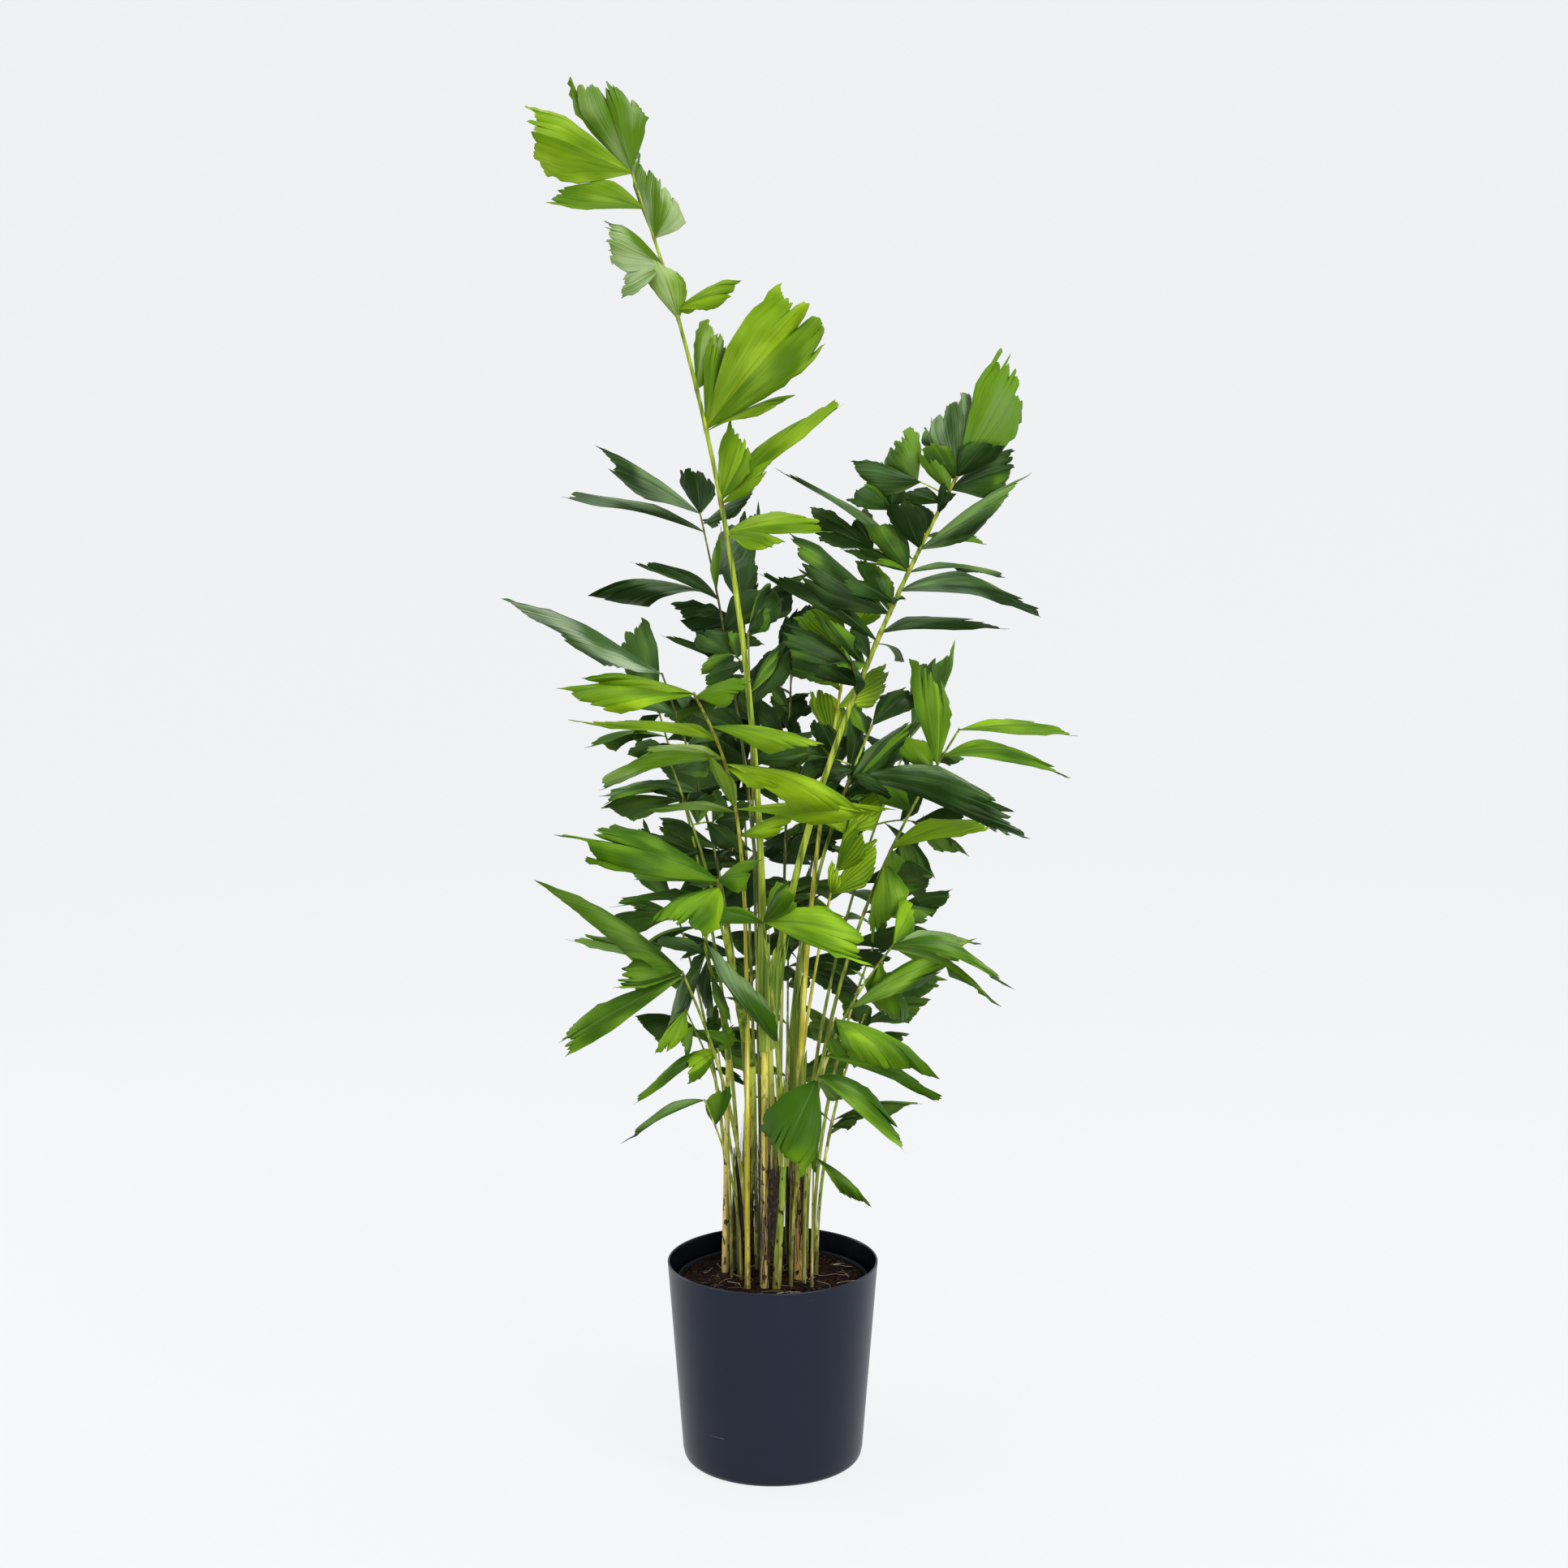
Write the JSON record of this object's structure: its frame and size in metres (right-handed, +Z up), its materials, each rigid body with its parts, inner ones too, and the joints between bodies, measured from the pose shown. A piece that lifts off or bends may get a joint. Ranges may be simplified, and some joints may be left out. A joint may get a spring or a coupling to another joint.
{
  "type": "potted fishtail palm",
  "caption": "Clump-growing fishtail palm with wedge-shaped, jagged leaflets on slender canes and stalks, rooted in a nursery pot inside a plain dark round pot.",
  "frame": {"origin": "the middle of the pot's flat underside, on the floor", "axes": "+Z up along the pot's axis, -Y towards the side that the picture shows, +X to the picture's right"},
  "size_m": [0.7068, 0.5472, 1.7394],
  "materials": {
    "leaf_lime": "satin",
    "leaf_bright": "satin",
    "leaf_middle": "satin",
    "leaf_dark": "satin",
    "leaf_grey": "matte",
    "cane_yellow": "satin",
    "cane_green": "satin",
    "cane_tan": "matte",
    "cane_fibre": "matte",
    "outer_pot": "satin",
    "growing_pot": "matte",
    "potting_mix": "matte"
  },
  "bodies": {
    "root": {"cane_broad": "cane_green", "cane_core": "cane_green", "cane_orange": "cane_tan", "cane_rear": "cane_green", "cane_rear_right": "cane_green", "cane_spotted": "cane_green", "cane_stub": "cane_fibre", "cane_tan": "cane_tan", "cane_yellow": "cane_yellow", "frond_back_cane": "leaf_lime", "frond_back_left_dark": "leaf_dark", "frond_brown_rib": "leaf_dark", "frond_centre": "leaf_bright", "frond_dark_middle": "leaf_dark", "frond_fan": "leaf_bright", "frond_far_deep": "leaf_dark", "frond_far_inner": "leaf_dark", "frond_far_left_high": "leaf_middle", "frond_far_left_low": "leaf_middle", "frond_far_low": "leaf_bright", "frond_far_middle": "leaf_dark", "frond_far_right_high": "leaf_middle", "frond_far_right_low": "leaf_middle", "frond_far_side": "leaf_middle", "frond_far_tall": "leaf_dark", "frond_grey_left": "leaf_grey", "frond_inner_lime": "leaf_lime", "frond_left": "leaf_middle", "frond_left_hub": "leaf_dark", "frond_left_low": "leaf_middle", "frond_left_lower": "leaf_middle", "frond_left_lowest": "leaf_middle", "frond_lime": "leaf_lime", "frond_lowest": "leaf_middle", "frond_right": "leaf_dark", "frond_right_fan": "leaf_dark", "frond_right_low": "leaf_bright", "frond_right_lower": "leaf_bright", "frond_right_middle": "leaf_middle", "frond_tall": "leaf_lime", "grow_pot": "growing_pot", "pot": "outer_pot", "soil": "potting_mix"}
  },
  "joints": []
}
